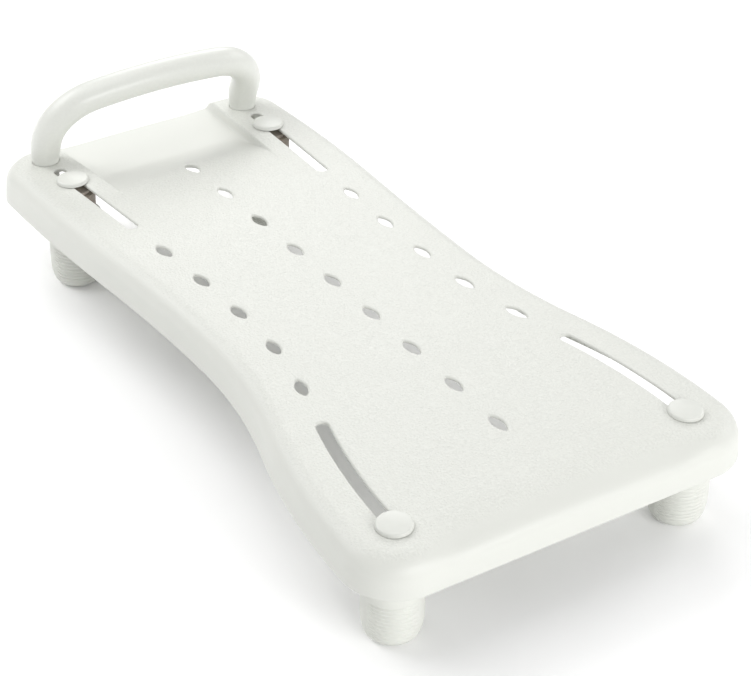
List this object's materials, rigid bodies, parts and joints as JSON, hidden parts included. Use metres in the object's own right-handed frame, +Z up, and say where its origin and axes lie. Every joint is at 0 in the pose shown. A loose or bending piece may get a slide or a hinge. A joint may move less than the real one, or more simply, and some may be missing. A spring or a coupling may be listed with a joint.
{
  "type": "bath transfer board",
  "caption": "Moulded bath transfer board with an arched, drained deck, a tubular handle at one end and screw clamp feet that slide in slots to grip a bath.",
  "frame": {"origin": "on the floor below the middle of the board", "axes": "+Z up, +Y along the board towards the handle, +X across it"},
  "size_m": [0.3536, 0.69, 0.1807],
  "materials": {
    "deck_plastic": "fine pebble grain",
    "handle_plastic": "smooth gloss",
    "cap_plastic": "smooth satin",
    "core_plastic": "plain",
    "washer_plastic": "plain",
    "rubber": "soft matte, ribbed",
    "steel": "plain",
    "brass": "turned"
  },
  "bodies": {
    "deck": {"deck": "deck_plastic", "handle": "handle_plastic", "handle_inserts": "brass", "handle_washers": "steel", "handle_screws": "steel"},
    "clamp_near_left": {"near_left_cap": "cap_plastic", "near_left_bolt": "steel"},
    "washer_near_left": {"near_left_washer": "washer_plastic"},
    "foot_near_left": {"near_left_insert": "brass", "near_left_core": "core_plastic", "near_left_sleeve": "rubber"},
    "clamp_near_right": {"near_right_cap": "cap_plastic", "near_right_bolt": "steel"},
    "washer_near_right": {"near_right_washer": "washer_plastic"},
    "foot_near_right": {"near_right_insert": "brass", "near_right_core": "core_plastic", "near_right_sleeve": "rubber"},
    "clamp_far_left": {"far_left_cap": "cap_plastic", "far_left_bolt": "steel"},
    "washer_far_left": {"far_left_washer": "washer_plastic"},
    "foot_far_left": {"far_left_insert": "brass", "far_left_core": "core_plastic", "far_left_sleeve": "rubber"},
    "clamp_far_right": {"far_right_cap": "cap_plastic", "far_right_bolt": "steel"},
    "washer_far_right": {"far_right_washer": "washer_plastic"},
    "foot_far_right": {"far_right_insert": "brass", "far_right_core": "core_plastic", "far_right_sleeve": "rubber"}
  },
  "joints": [
    {"name": "near_left_swing", "type": "hinge", "parent": "deck", "child": "clamp_near_left", "pos_m": [0.38521, -0.315, 0.1], "axis": [-0.0311, -0.0346, 0.9989], "range_deg": [-13.5, 0]},
    {"name": "near_left_drop", "type": "slide", "parent": "clamp_near_left", "child": "washer_near_left", "axis": [0, 0, -1], "range_m": [0, 0.002]},
    {"name": "near_left_spin", "type": "hinge", "parent": "washer_near_left", "child": "foot_near_left", "pos_m": [-0.13334, -0.302, 0.05], "axis": [0, 0, -1], "range_deg": [0, 720]},
    {"name": "near_right_swing", "type": "hinge", "parent": "deck", "child": "clamp_near_right", "pos_m": [-0.38521, -0.315, 0.1], "axis": [0.0311, -0.0346, 0.9989], "range_deg": [0, 13.5]},
    {"name": "near_right_drop", "type": "slide", "parent": "clamp_near_right", "child": "washer_near_right", "axis": [0, 0, -1], "range_m": [0, 0.002]},
    {"name": "near_right_spin", "type": "hinge", "parent": "washer_near_right", "child": "foot_near_right", "pos_m": [0.13334, -0.302, 0.05], "axis": [0, 0, -1], "range_deg": [0, 720]},
    {"name": "far_left_travel", "type": "slide", "parent": "deck", "child": "clamp_far_left", "axis": [-0.0499, 0.9983, -0.0311], "range_m": [-0.098, 0.018]},
    {"name": "far_left_drop", "type": "slide", "parent": "clamp_far_left", "child": "washer_far_left", "axis": [0, 0, -1], "range_m": [0, 0.002]},
    {"name": "far_left_spin", "type": "hinge", "parent": "washer_far_left", "child": "foot_far_left", "pos_m": [-0.1004, 0.261, 0.05], "axis": [0, 0, -1], "range_deg": [0, 720]},
    {"name": "far_right_travel", "type": "slide", "parent": "deck", "child": "clamp_far_right", "axis": [0.0499, 0.9983, -0.0311], "range_m": [-0.098, 0.018]},
    {"name": "far_right_drop", "type": "slide", "parent": "clamp_far_right", "child": "washer_far_right", "axis": [0, 0, -1], "range_m": [0, 0.002]},
    {"name": "far_right_spin", "type": "hinge", "parent": "washer_far_right", "child": "foot_far_right", "pos_m": [0.1004, 0.261, 0.05], "axis": [0, 0, -1], "range_deg": [0, 720]}
  ],
  "couplings": [
    {"joint": "near_left_drop", "follows": "near_left_spin", "m_per_rad": 0.00015915},
    {"joint": "near_right_drop", "follows": "near_right_spin", "m_per_rad": 0.00015915},
    {"joint": "far_left_drop", "follows": "far_left_spin", "m_per_rad": 0.00015915},
    {"joint": "far_right_drop", "follows": "far_right_spin", "m_per_rad": 0.00015915}
  ]
}
